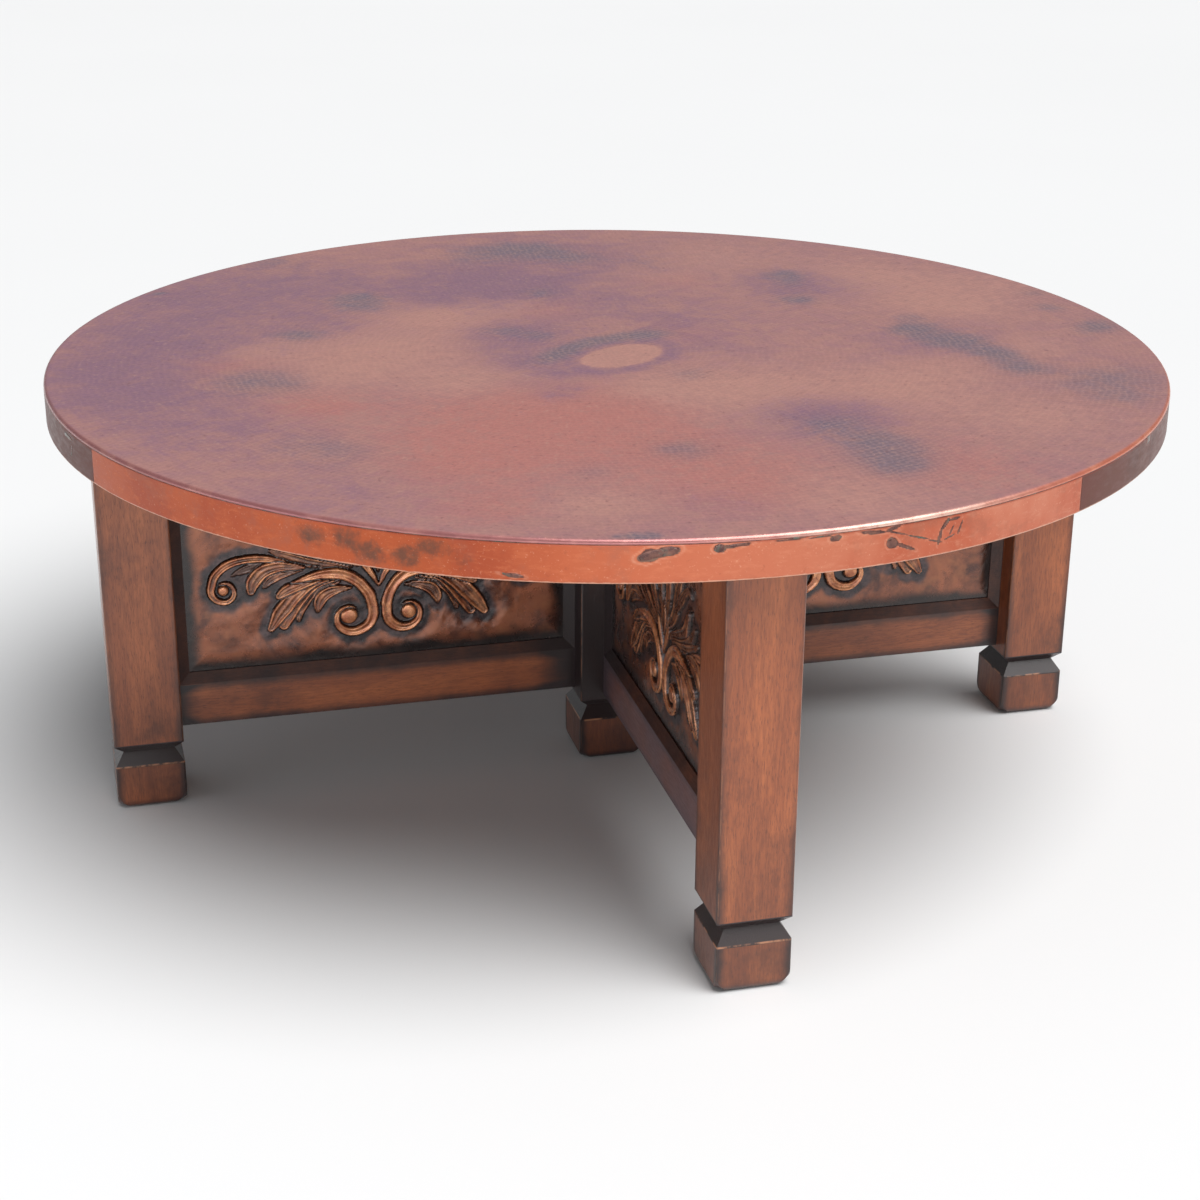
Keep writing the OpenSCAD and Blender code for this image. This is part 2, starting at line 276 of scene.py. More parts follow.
MAUVE = (
    (-420, 330, 190, 0.75), (-80, 335, 85, 0.9), (-20, 300, 55, 0.8), (-140, 290, 60, 0.7),
    (-250, 380, 90, 0.6), (-75, 85, 75, 0.8), (-90, -20, 50, 0.6), (-80, -80, 45, 0.6),
    (-86, -150, 30, 0.5), (120, 100, 70, 0.5), (300, 235, 90, 0.75), (150, -305, 75, 0.8),
    (-555, 40, 110, 0.8), (-470, -190, 110, 0.6), (-480, 150, 90, 0.8), (-300, 180, 70, 0.5),
    (60, 200, 90, 0.45), (30, 430, 160, 0.6), (-40, -520, 60, 0.3), (-360, -420, 90, 0.4),
    (100, 0, 70, 0.4), (370, -60, 90, 0.5), (-520, -60, 90, 0.7),
)
TAN = (
    (-150, 190, 85, 0.9), (-75, 235, 45, 0.8), (-250, 60, 95, 0.9), (-300, -20, 60, 0.8),
    (-180, -80, 75, 0.7), (100, -175, 100, 0.9), (250, -215, 90, 0.8), (0, -150, 55, 0.7),
    (445, 110, 90, 0.85), (395, 250, 95, 0.8), (470, -90, 50, 0.6), (340, -170, 60, 0.6),
    (350, -340, 100, 0.6), (-130, -500, 55, 0.7), (-375, 85, 48, 0.8), (100, -530, 90, 0.6),
    (250, 400, 110, 0.5), (520, 200, 90, 0.5), (130, 330, 60, 0.4),
)
CORAL = (
    (-150, -250, 130, 0.9), (-60, -210, 90, 0.7), (-220, -335, 100, 0.7), (0, -460, 110, 0.7),
    (-340, -135, 65, 0.7), (-40, -330, 90, 0.5), (230, -470, 90, 0.5), (100, 60, 60, 0.4),
    (-30, 200, 60, 0.4), (160, 300, 70, 0.4), (-420, 30, 60, 0.5), (-240, -480, 60, 0.6),
)
SPOT = (10 * MM, -27 * MM, 44 * MM)  # the bare spot near the middle: x, y and radius


def hammer_marks(x, y):
    """Distance from the middle of the nearest hammer mark over the pitch. The marks lie in rings."""
    radius = np.hypot(x, y) / HAMMER_PITCH
    ring = np.round(radius)
    count = np.maximum(1, np.round(2 * math.pi * ring))
    turn = (np.arctan2(y, x) / (2 * math.pi) + 1) * count + 0.5 * ring
    return np.hypot(turn % 1 - 0.5, radius - ring)


def hammer_rings():
    """Radius and angles of each ring of points: one in every mark and one between every two marks."""
    rings = [(0.0, np.zeros(1))]
    for k in range(1, 2 * HAMMER_ROWS + 1):
        n = 2 * round(math.pi * k) if k % 2 == 0 else round(2 * math.pi * k)
        rings.append((k * HAMMER_PITCH / 2, 2 * math.pi * np.arange(n) / n))
    return rings


def patches(x, y, places):
    """How strongly soft-edged patches cover each point."""
    bare = np.ones_like(x)
    for px, py, radius, strength in places:
        d = np.hypot(x - px * MM, y - py * MM)
        bare = bare * (1 - strength * bell(d, radius * MM))
    return 1 - bare


def top_patina(x, y):
    """The shares of the patina's colours, and of the bare spot near the middle."""
    far, near = 120 * MM, 34 * MM
    wx = x + 20 * MM * cloud(x, y, far, 11) + 7 * MM * cloud(x, y, near, 12)
    wy = y + 20 * MM * cloud(x, y, far, 13) + 7 * MM * cloud(x, y, near, 14)
    tones = {name: patches(wx, wy, places)
             for name, places in (("slate", SLATE), ("mauve", MAUVE), ("tan", TAN), ("coral", CORAL))}
    sx, sy, spot_r = SPOT
    # the spot is a slanted oval with a dark arc round its far side
    lean = 0.5
    a, b = x - sx - lean * (y - sy), y - sy
    d = np.hypot(a * 0.97, b * 1.02)
    rim = 1.5 * MM * cloud(x, y, 12 * MM, 15) + 1.2 * MM * value_noise(x, y, 4 * MM, 16)
    spot = 1 - smooth(0.93 * spot_r, 1.05 * spot_r, d + rim)
    angle = np.arctan2(b, a)
    arc = bell(d - 1.8 * spot_r, 0.55 * spot_r) * smooth(0.1, 0.85, np.sin(angle - 0.6))
    halo = bell(d - 1.3 * spot_r, 0.4 * spot_r)
    tones["slate"] = np.maximum(tones["slate"], 0.95 * arc) * (1 - spot)
    tones["mauve"] = np.maximum(tones["mauve"], 0.7 * halo) * (1 - spot)
    tones["tan"] = np.maximum(tones["tan"] * (1 - halo), spot)
    tones["coral"] = tones["coral"] * (1 - spot)
    return tones


def hammered_top(material):
    """The top sheet: hammer marks, a rolled edge and the underside, in one closed mesh."""
    points, faces, starts, total = [], [], [], 0
    for r, angles in hammer_rings():
        starts.append((total, angles))
        points.append(np.stack([r * np.cos(angles), r * np.sin(angles), np.full(len(angles), TOP_Z)], 1))
        total += len(angles)
    for inner, outer in zip(starts, starts[1:]):
        faces += stitch(inner, outer)
    flat = np.concatenate(points)
    x, y = flat[:, 0], flat[:, 1]
    level = smooth(TOP_R - 3 * EDGE_R, TOP_R - EDGE_R, np.hypot(x, y))
    bowl = 1 - np.clip(hammer_marks(x, y) / 0.6, 0, 1) ** 2
    bowl = bowl * (0.75 + 0.25 * cloud(x, y, 12 * MM, 21))
    drop = HAMMER_DEPTH * bowl + 0.12 * MM * (1 + cloud(x, y, 80 * MM, 22))
    flat[:, 2] -= np.clip(drop, 0, 0.8 * SHEET_T) * (1 - level)
    # the rolled edge, the rim and the sheet's underside, ring after ring from the last one of the top
    last, angles = starts[-1]
    n = len(angles)
    arc_r, arc_z = TOP_R - EDGE_R, TOP_Z - EDGE_R
    inner_r = EDGE_R - SHEET_T
    edge_points = 5
    outline = [(arc_r + EDGE_R * math.sin(a), arc_z + EDGE_R * math.cos(a))
               for a in np.radians(np.linspace(18, 90, edge_points))]
    outline += [(TOP_R - 0.3 * MM, RIM_LOW), (TOP_R - SHEET_T, RIM_LOW)]
    outline += [(arc_r + inner_r * math.sin(a), arc_z + inner_r * math.cos(a))
                for a in np.radians((90, 45, 0))]
    skirt = []
    for k, (r, z) in enumerate(outline):
        on_edge = 0 < k < edge_points
        uneven = r - 0.12 * MM * (1 + cloud(angles * TOP_R, angles * 0, 25 * MM, 23)) * on_edge
        skirt.append(np.stack([uneven * np.cos(angles), uneven * np.sin(angles), np.full(n, z)], 1))
    for k in range(len(skirt)):
        here = len(flat) + k * n
        before = last if k == 0 else here - n
        faces += [(before + i, here + i, here + (i + 1) % n, before + (i + 1) % n) for i in range(n)]
    under = len(flat) + (len(skirt) - 1) * n
    faces.append(tuple(under + i for i in range(n)))
    everything = np.concatenate([flat] + skirt)
    piece = make_piece("hammered_copper_top", everything, faces, material,
                       "copper_top_sheet")
    x, y = everything[:, 0], everything[:, 1]
    for name, values in top_patina(x, y).items():
        set_attribute(piece, name, values)
    degrees = np.degrees(np.arctan2(y, x))
    set_attribute(piece, "rim", smooth(TOP_R - EDGE_R, TOP_R - 0.3 * EDGE_R, np.hypot(x, y)))
    set_attribute(piece, "gleam", bell(degrees - GLEAM_ANGLE, GLEAM_WIDTH))
    set_attribute(piece, "orange", smooth(-110, -45, degrees) * (1 - smooth(40, 110, degrees)))
    return piece


def hammer_nodes(g):
    """The distance that hammer_marks gives, but less even, and a random number for each mark."""
    x, y, z = g.xyz()
    x, y = (g.plus(c, g.sway(g.noise(scale, 2, 0.6), 14 * MM)) for c, scale in ((x, 52), (y, 58)))
    radius = g.math("DIVIDE", g.math("SQRT", g.plus(g.times(x, x), g.times(y, y))), HAMMER_PITCH)
    ring = g.math("ROUND", radius)
    count = g.math("MAXIMUM", 1.0, g.math("ROUND", g.times(ring, 2 * math.pi)))
    turn = g.plus(g.math("DIVIDE", g.math("ARCTAN2", y, x), 2 * math.pi), 1.0)
    turn = g.plus(g.times(turn, count), g.times(ring, 0.5))
    along = g.math("SUBTRACT", g.math("FRACT", turn), 0.5)
    across = g.math("SUBTRACT", radius, ring)
    distance = g.math("SQRT", g.plus(g.times(along, along), g.times(across, across)))
    pair = g.add("ShaderNodeCombineXYZ")
    g.put(pair.inputs["X"], ring)
    g.put(pair.inputs["Y"], g.math("FLOOR", turn))
    random = g.add("ShaderNodeTexWhiteNoise", noise_dimensions="2D")
    g.put(random.inputs["Vector"], pair.outputs[0])
    return distance, random.outputs["Value"]


def patinated_copper():
    """Hammered copper with a patina of four colours, and a rim that is orange at the front."""
    g = Graph("patinated_copper")
    slate, mauve, tan, coral = (g.attribute(n) for n in ("slate", "mauve", "tan", "coral"))
    rim, orange, gleam = g.attribute("rim"), g.attribute("orange"), g.attribute("gleam")
    mottle = g.noise(22, 5, 0.62, distortion=0.8)
    small = g.noise(70, 4, 0.65)
    fine = g.noise(260, 3, 0.6)
    mark, chance = hammer_nodes(g)
    spread = g.plus(g.sway(mottle, 0.9), g.sway(small, 0.9))
    colour = g.mix(g.step(0.36, 0.66, mottle), rgb(218, 156, 149), rgb(206, 147, 150))
    colour = g.mix(g.step(0.05, 0.95, g.plus(coral, spread)), colour, rgb(228, 146, 136))
    colour = g.mix(g.step(0.05, 0.95, g.plus(tan, spread)), colour, rgb(233, 169, 155))
    colour = g.mix(g.step(0.05, 1.0, g.plus(mauve, spread)), colour, rgb(174, 128, 152))
    colour = g.mix(g.step(0.1, 1.0, g.plus(slate, g.times(spread, 0.7)), 0.0, 0.8),
                   colour, rgb(146, 136, 154))
    # each mark is darker in its middle than on its rim, most of all where the patina is dark
    ridge = g.step(0.25, 0.6, mark)
    colour = g.mix(g.times(g.math("SUBTRACT", 1.0, ridge), g.plus(0.10, g.times(slate, 0.22))),
                   colour, rgb(84, 66, 84))
    colour = g.mix(g.times(g.times(ridge, chance), g.plus(0.12, g.times(slate, 0.3))),
                   colour, rgb(216, 164, 150))
    dash = g.noise(150, 3, 0.6)
    colour = g.mix(g.step(0.6, 0.76, dash, 0.0, 0.4), colour, rgb(132, 74, 86))
    colour = g.mix(g.step(0.42, 0.26, dash, 0.0, 0.35), colour, rgb(236, 186, 166))
    colour = g.mix(g.times(g.step(0.35, 0.65, fine), 0.14), colour, rgb(222, 168, 152))
    worn = g.step(0.5, 0.66, g.noise(34, 4, 0.6))
    edge = g.mix(orange, rgb(158, 96, 96), rgb(206, 108, 72))
    edge = g.mix(g.times(worn, 0.5), edge, g.mix(orange, rgb(198, 136, 126), rgb(230, 150, 114)))
    edge = g.mix(g.times(gleam, g.step(0.3, 0.6, small, 0.25, 0.8)), edge, rgb(250, 218, 198))
    colour = g.mix(g.times(rim, 0.85), colour, edge)
    bowl = g.times(g.times(mark, mark), g.math("SUBTRACT", 1.0, rim))
    height = g.plus(g.times(bowl, g.plus(0.7, g.times(chance, 0.6))), g.times(fine, 0.1))
    g.set(Base_Color=colour, Metallic=0.5, Roughness=g.step(0.3, 0.7, small, 0.32, 0.42),
          Normal=g.bump(height, 0.4 * MM))
    g.set(Coat_Weight=0.3, Coat_Roughness=0.2, Coat_IOR=1.45)
    return g.material


# ---------- the edge band ----------

BAND_STEP = 0.13  # degrees between the sections of the band
# Heat marks: angle in degrees from +X, height share from the lower edge, half width and half height
# in mm, tilt in degrees, strength
BAND_SMUDGES = (
    (-130.2, 0.60, 22, 14, 0, 0.8), (-126.8, 0.66, 22, 14, 0, 0.85), (-124.8, 0.42, 22, 14, 0, 0.9),
    (-121.4, 0.42, 20, 14, 0, 0.9), (-119.2, 0.70, 24, 12, 0, 0.8), (-116.8, 0.50, 18, 12, 0, 0.5),
    (-113.2, 0.60, 18, 12, 0, 0.35), (-107.0, 0.50, 20, 9, 0, 0.25), (-146, 0.3, 40, 10, 0, 0.4),
    (-20, 0.6, 30, 12, 0, 0.6), (14, 0.5, 22, 14, 0, 0.8), (18, 0.7, 16, 9, 0, 0.6),
    (55, 0.4, 30, 12, 0, 0.7), (83, 0.7, 20, 10, 0, 0.6), (97, 0.6, 22, 12, 0, 0.7),
    (140, 0.5, 30, 14, 0, 0.8), (171, 0.4, 24, 12, 0, 0.6),
)
# Braze and flux left on the band: the same numbers
BRAZE_SPOTS = (
    (-112.4, 0.16, 11, 2.2, -6, 0.8), (-101.2, 0.74, 12, 6.0, 14, 1.0),
    (-99.9, 0.82, 15, 5.0, 12, 0.8), (-95.5, 0.86, 6.0, 4.4, 0, 1.0),
    (-94.1, 0.91, 13, 1.8, 5, 0.9), (-89.5, 0.965, 16, 1.1, 3, 0.7),
    (-86.8, 0.955, 14, 1.0, 4, 0.6), (-85.5, 0.88, 6, 3.4, 8, 0.9), (-82.0, 0.90, 14, 1.8, -6, 0.9),
    (-80.2, 0.93, 8, 2.4, 16, 0.8), (-80.2, 0.55, 6.2, 5.2, 0, 1.0),
    (-78.9, 0.40, 11, 1.8, -24, 0.9), (-79.8, 0.79, 16, 0.9, -17, 0.5),
    (-77.6, 0.58, 14, 0.9, -17, 0.6), (-75.9, 0.40, 9, 0.9, -16, 0.5),
    (-75.4, 0.52, 1.6, 9, -14, 0.9), (-74.9, 0.80, 2.0, 7, -42, 0.8), (-73.9, 0.89, 7, 1.1, 2, 0.6),
    (-74.4, 0.43, 7, 1.0, 16, 0.5), (-73.3, 0.62, 1.1, 8, -22, 0.6),
    (-74.2, 0.60, 1.0, 6, -26, 0.4),
)


def band_joints():
    """The angles between which each length of the band runs, read from the CAD pieces."""
    ends = {}
    for side in SIDES:
        points = np.array([v.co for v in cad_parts["edge_band_" + side].data.vertices])
        angles = np.degrees(np.arctan2(points[:, 1], points[:, 0]))
        if angles.max() - angles.min() > 300:
            angles = angles % 360
        ends[side] = (angles.min(), angles.max())
    return ends


def braze_places():
    """The spots listed above, and others of the same kind on the rest of the edge."""
    rng = np.random.default_rng(41)
    places = list(BRAZE_SPOTS)
    angle, last_angle = -66.0, 190
    while angle < last_angle:
        angle += rng.uniform(7, 24)
        places.append((angle, rng.uniform(0.8, 0.93), rng.uniform(5, 16), rng.uniform(2, 5.5),
                       rng.uniform(-15, 15), rng.uniform(0.7, 1)))
        if rng.random() < 0.4:
            places.append((angle + 0.8, rng.uniform(0.35, 0.6), 1.8, rng.uniform(6, 12), -20, 0.7))
    return places


def mark_distance(place, degrees, share):
    """Distance from a mark's middle, as a share of its size, and how far along it runs, in mm."""
    angle, level, long, high, tilt, strength = place
    along = np.radians((degrees - angle + 180) % 360 - 180) * TOP_R / MM
    up = (share - level) * (RIM_LOW - BAND_LOW) / MM
    turn = math.radians(tilt)
    a = along * math.cos(turn) + up * math.sin(turn)
    b = up * math.cos(turn) - along * math.sin(turn)
    return np.hypot(a / long, b / high)


def edge_band(side, start, end, material):
    """One length of the band: a sheet with a rounded lower edge and a lip under the core."""
    lip = 12 * MM
    fold = 1.6 * MM
    top = RIM_LOW - 0.3 * MM
    core = TOP_R - SHEET_T
    rows = 22
    section = [(core, top), (TOP_R - 0.35 * MM, top), (TOP_R - 0.05 * MM, top - 0.4 * MM)]
    section += [(TOP_R, top + (BAND_LOW + fold - top) * k / rows) for k in range(1, rows + 1)]
    section += [(TOP_R - fold + fold * math.cos(a), BAND_LOW + fold - fold * math.sin(a))
                for a in np.radians((22, 45, 68, 90))]
    section += [(core - lip, BAND_LOW), (core - lip, BAND_LOW + SHEET_T), (core, BAND_LOW + SHEET_T)]
    angles = np.radians(np.linspace(start, end, math.ceil((end - start) / BAND_STEP) + 1))
    r, z = (np.array(column)[:, None] for column in zip(*section))
    outer = bell(r - TOP_R, 1.5 * MM)
    around, level = angles[None, :] * TOP_R, z + 0 * angles[None, :]
    wave = 0.14 * MM * (cloud(around, level, 34 * MM, 31) - 1)
    wave = wave + 0.07 * MM * (cloud(around, level, 9 * MM, 32) - 1)
    radius = r + wave * outer
    points = np.stack([radius * np.cos(angles), radius * np.sin(angles), level], 2).reshape(-1, 3)
    n, m = len(angles), len(section)
    faces = []
    for k in range(m):
        a, b = k * n, (k + 1) % m * n
        faces += [(a + i, a + i + 1, b + i + 1, b + i) for i in range(n - 1)]
    faces.append(tuple(k * n for k in range(m)))
    faces.append(tuple(k * n + n - 1 for k in reversed(range(m))))
    piece = make_piece("copper_band_" + side, points, faces, material,
                       "edge_band_" + side)
    degrees = np.degrees(np.arctan2(points[:, 1], points[:, 0]))
    around = np.radians(degrees) * TOP_R
    share = (points[:, 2] - BAND_LOW) / (top - BAND_LOW)
    rough = 0.3 * cloud(around, points[:, 2], 9 * MM, 33)
    smudge, braze, ring = (np.zeros(len(points)) for _ in range(3))
    for place in BAND_SMUDGES:
        smudge = np.maximum(smudge, place[5] * bell(mark_distance(place, degrees, share), 1))
    for place in braze_places():
        d = mark_distance(place, degrees, share) + rough
        braze = np.maximum(braze, place[5] * (1 - smooth(0.7, 1.05, d)))
        ring = np.maximum(ring, place[5] * bell(d - 1.2, 0.12))
    set_attribute(piece, "smudge", smudge)
    set_attribute(piece, "braze", braze)
    set_attribute(piece, "ring", ring * (braze < 0.3))
    set_attribute(piece, "share", share)
    set_attribute(piece, "warm", smooth(-62, -125, (degrees + 300) % 360 - 300))
    return piece


def edge_copper(name, dull):
    """Orange copper with heat marks. dull turns it browner and greyer."""
    g = Graph(name)
    smudge, braze, ring = g.attribute("smudge"), g.attribute("braze"), g.attribute("ring")
    share, warm = g.attribute("share"), g.attribute("warm")
    broad = g.noise(9, 4, 0.6, g.scaled((1, 1, 0.5)))
    streak = g.noise(60, 4, 0.65, g.scaled((1, 1, 3)))
    patch = g.noise(130, 4, 0.7)
    grit = g.noise(420, 3, 0.6)
    colour = g.mix(warm, rgb(206, 126, 98), rgb(182, 84, 42))
    colour = g.mix(g.step(0.4, 0.66, broad), colour, g.mix(warm, rgb(190, 96, 66), rgb(166, 70, 36)))
    colour = g.mix(g.times(g.step(0.48, 0.7, streak), 0.4), colour,
                   g.mix(warm, rgb(216, 150, 122), rgb(206, 110, 66)))
    colour = g.mix(g.times(g.step(0.6, 0.74, patch), 0.3), colour, rgb(146, 72, 46))
    colour = g.mix(g.times(g.step(0.62, 0.7, grit), 0.3), colour, rgb(228, 176, 146))
    colour = g.mix(g.times(g.step(0.5, 0.7, g.noise(24, 5, 0.7)), 0.5), colour, rgb(160, 92, 70))
    colour = g.mix(dull, colour, g.mix(g.step(0.35, 0.65, broad), rgb(38, 24, 32), rgb(64, 40, 40)))
    # the lower edge is pale in a broken line, partly wear and partly a painted highlight on its rounded
    # fold, and a thin line under the seam is red
    low = g.plus(g.step(0.09, 0.0, share), g.sway(patch, 1.2))
    colour = g.mix(g.times(g.step(0.35, 0.8, low), 0.7), colour, rgb(226, 178, 152))
    colour = g.mix(g.times(g.step(0.93, 0.99, share), 0.5), colour, rgb(150, 66, 52))
    ragged = g.plus(smudge, g.sway(patch, 1.1))
    mask = g.times(g.step(0.3, 0.95, ragged), g.step(0.02, 0.35, smudge))
    colour = g.mix(g.times(mask, 0.8), colour, rgb(84, 62, 50))
    colour = g.mix(g.times(ring, 0.35 - 0.3 * dull), colour, rgb(222, 168, 140))
    colour = g.mix(g.times(g.step(0.1, 0.55, braze), 0.92), colour,
                   g.mix(g.step(0.4, 0.62, patch), rgb(74, 48, 46), rgb(112, 92, 78)))
    rough = g.plus(g.step(0.3, 0.7, streak, 0.34, 0.48), 0.08 * dull)
    g.set(Base_Color=colour, Metallic=0.5, Roughness=rough,
          Normal=g.bump(g.plus(g.times(streak, 0.5), g.times(grit, 0.3)), 0.12 * MM))
    g.set(Coat_Weight=0.12, Coat_Roughness=0.22, Coat_IOR=1.45)
    return g.material


def braze_marks(material):
    """The bead of braze in the seam, and the raised drops of it on the band."""
    points, faces = [], []
    rng = np.random.default_rng(42)
    count = 1400
    angles = np.linspace(0, 2 * math.pi, count, endpoint=False)
    swell = MM * (0.2 + 0.16 * cloud(angles, angles * 0, 0.03, 43))
    turns = np.radians((-80, -40, 0, 40, 80, 180))
    for turn in turns:
        r = TOP_R - 0.4 * MM + swell * math.cos(turn)
        z = RIM_LOW - 0.15 * MM + swell * 2.0 * math.sin(turn)
        points += list(np.stack([r * np.cos(angles), r * np.sin(angles), z], 1))
    for k in range(len(turns)):
        a, b = k * count, (k + 1) % len(turns) * count
        faces += [(a + i, a + (i + 1) % count, b + (i + 1) % count, b + i) for i in range(count)]
    spokes, steps = 28, (1.0, 0.93, 0.8, 0.55, 0.28)
    for angle, share, long, high, tilt, strength in braze_places():
        tilt, first = math.radians(tilt), len(points)
        ragged = 1 + 0.3 * rng.uniform(-1, 1, spokes)
        ragged = 0.86 * (ragged + np.roll(ragged, 1) + np.roll(ragged, -1)) / 3
        for step in steps + (0.0,):
            dome = MM * (0.38 * strength * (1 - step ** 3) - 0.5 * (step == 1.0))
            for k in range(spokes if step else 1):
                a = 2 * math.pi * k / spokes
                u, v = long * step * ragged[k] * math.cos(a), high * step * ragged[k] * math.sin(a)
                along = (u * math.cos(tilt) - v * math.sin(tilt)) * MM
                up = (u * math.sin(tilt) + v * math.cos(tilt)) * MM
                z = BAND_LOW + share * (RIM_LOW - BAND_LOW) + up
                z = min(max(z, BAND_LOW + 1.8 * MM), RIM_LOW - 0.2 * MM)
                r = TOP_R + dome - 0.14 * MM
                b = math.radians(angle) + along / TOP_R
                points.append((r * math.cos(b), r * math.sin(b), z))
        for s in range(len(steps) - 1):
            a, b = first + s * spokes, first + (s + 1) * spokes
            faces += [(a + k, a + (k + 1) % spokes, b + (k + 1) % spokes, b + k) for k in range(spokes)]
        last, tip = first + (len(steps) - 1) * spokes, first + len(steps) * spokes
        faces += [(last + k, last + (k + 1) % spokes, tip) for k in range(spokes)]
        faces.append(tuple(first + k for k in reversed(range(spokes))))
    return make_piece("braze_marks", points, faces, material, "braze_seam")


def dark_braze():
    """Dark braze with greenish and pale grains."""
    g = Graph("dark_braze")
    patch, fine = g.noise(110, 4, 0.6), g.noise(330, 3, 0.6)
    colour = g.mix(g.step(0.35, 0.65, patch), rgb(84, 52, 48), rgb(128, 84, 70))
    colour = g.mix(g.times(g.step(0.52, 0.66, g.noise(70, 3, 0.6)), 0.7), colour, rgb(86, 106, 94))
    colour = g.mix(g.times(g.step(0.62, 0.72, fine), 0.4), colour, rgb(178, 160, 140))
    g.set(Base_Color=colour, Metallic=0.5, Roughness=g.step(0.3, 0.7, patch, 0.22, 0.45),
          Normal=g.bump(g.plus(patch, g.times(fine, 0.4)), 0.3 * MM))
    g.set(Coat_Weight=0.3, Coat_Roughness=0.15)
    return g.material


# ---------- the embossed panels ----------

PANEL_STEP = 1.2 * MM
RELIEF_H = 4.9 * MM
GROUND_H = 1.3 * MM
COPPER_T = 0.8 * MM  # the embossed sheet
HIDDEN = 12.5  # mm of the sheet that the beads cover on each side
GROOVE_W = 1.6  # mm, the chased line round each stroke
WALL_W = 1.6  # mm, over which a stroke's side rises


def through(*places, steps=7):
    """A smooth path through places, each of them u, v and half width in mm."""
    p = np.array([places[0], *places, places[-1]], float)
    t = np.linspace(0, 1, steps, endpoint=False)[:, None]
    parts = []
    for a, b, c, d in zip(p, p[1:], p[2:], p[3:]):
        square, cube = 2 * a - 5 * b + 4 * c - d, 3 * b - a - 3 * c + d
        parts.append(b + 0.5 * t * ((c - a) + t * (square + t * cube)))
    parts.append(p[-1:])
    return np.concatenate(parts)


def spiral(centre, radii, widths, start, end, steps=36):
    """A path that winds about a centre, through radii and half widths that are evenly spread."""
    t = np.linspace(0, 1, steps + 1)
    r = np.interp(t, np.linspace(0, 1, len(radii)), radii)
    w = np.interp(t, np.linspace(0, 1, len(widths)), widths)
    a = np.radians(start + (end - start) * t)
    return np.stack([centre[0] + r * np.cos(a), centre[1] + r * np.sin(a), w], 1)


class Relief:
    """A height map of the right half of the ornament, in mm. u runs from the panel's middle, v up.

    height is the strokes' height, line the darkness of the chased lines, and near how far a point
    lies from the nearest stroke, below 0 inside it.
    """

    def __init__(self, u, v):
        self.u, self.v = u.ravel(), v.ravel()
        self.height = np.zeros_like(self.u)
        self.line = np.zeros_like(self.u)
        self.near = np.full_like(self.u, 25.0)

    def stroke(self, path, top, kind="band"):
        """Lays a stroke over what is there, with a chased line round it."""
        margin = 30
        low, high = path[:, :2].min(0) - margin, path[:, :2].max(0) + margin
        part = (self.u > low[0]) & (self.u < high[0]) & (self.v > low[1]) & (self.v < high[1])
        u, v = self.u[part], self.v[part]
        gap, half = np.full_like(u, 1e9), np.ones_like(u)
        for p, q in zip(path, path[1:]):
            d = q - p
            t = np.clip(((u - p[0]) * d[0] + (v - p[1]) * d[1]) / (d[0] ** 2 + d[1] ** 2 + 1e-9), 0, 1)
            w = p[2] + t * d[2]
            g = np.hypot(u - p[0] - t * d[0], v - p[1] - t * d[1]) - w
            closer = g < gap
            gap, half = np.where(closer, g, gap), np.where(closer, w, half)
        s = np.clip(1 + gap / np.maximum(half, 0.3), 0, 1)
        inside = gap < 0
        wall = np.sqrt(1 - (1 - np.clip(-gap / WALL_W, 0, 1)) ** 2)
        if kind == "ball":
            body = 0.62 + 0.38 * np.sqrt(1 - s * s)
        elif kind == "leaf":
            body = 0.6 + 0.38 * bell(s - 0.82, 0.2) + 0.13 * bell(s, 0.13)
        else:
            body = 0.9 + 0.1 * bell(s - 0.62, 0.3) - (0.3 if kind == "hollow" else 0.16) * bell(s, 0.42)
        cut = gap / (GROOVE_W * (0.7 if kind == "leaf" else 1.0))
        clear = smooth(0.15, 1.0, cut)
        dark = np.where(inside, 0, np.maximum(self.line[part], 1 - smooth(0.3, 1.1, cut)))
        self.height[part] = np.where(inside, top * body * wall, self.height[part] * clear)
        self.line[part] = dark
        self.near[part] = np.minimum(self.near[part], gap)

    def leaf(self, *places, top=4.4):
        self.stroke(through(*places), top, "leaf")

    def ball(self, u, v, radius, top):
        self.stroke(np.array([(u, v, radius), (u + 0.1, v, radius)]), top, "ball")


